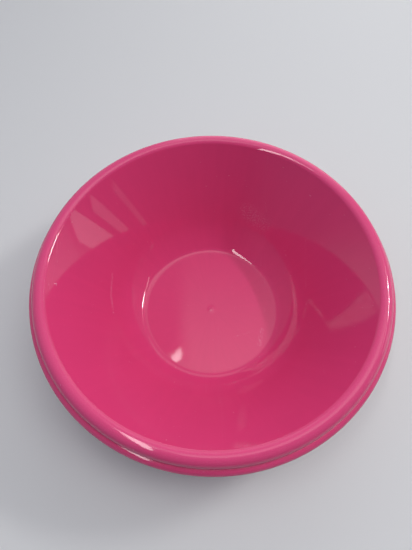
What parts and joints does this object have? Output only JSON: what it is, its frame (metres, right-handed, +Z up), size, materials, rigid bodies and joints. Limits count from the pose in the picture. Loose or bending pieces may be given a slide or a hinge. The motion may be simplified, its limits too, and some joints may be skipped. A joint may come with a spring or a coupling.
{
  "type": "nesting bowl pair",
  "caption": "Nest of round, flared plastic bowls with rolled rims and flat floors; the upper bowl lifts straight out of the lower one.",
  "frame": {"origin": "on the common axis, at the underside of the lower bowl's foot", "axes": "+Z up along the common axis of both bowls, out of their open mouths"},
  "size_m": [0.4197, 0.4198, 0.1334],
  "materials": {
    "upper_bowl": "glossy hot pink moulded plastic",
    "lower_bowl": "glossy hot pink moulded plastic"
  },
  "bodies": {
    "lower_bowl": {"lower_bowl": "lower_bowl"},
    "upper_bowl": {"upper_bowl": "upper_bowl"}
  },
  "joints": [
    {"name": "lift_out", "type": "slide", "parent": "lower_bowl", "child": "upper_bowl", "axis": [0, 0, 1], "range_m": [0, 0.13]}
  ]
}
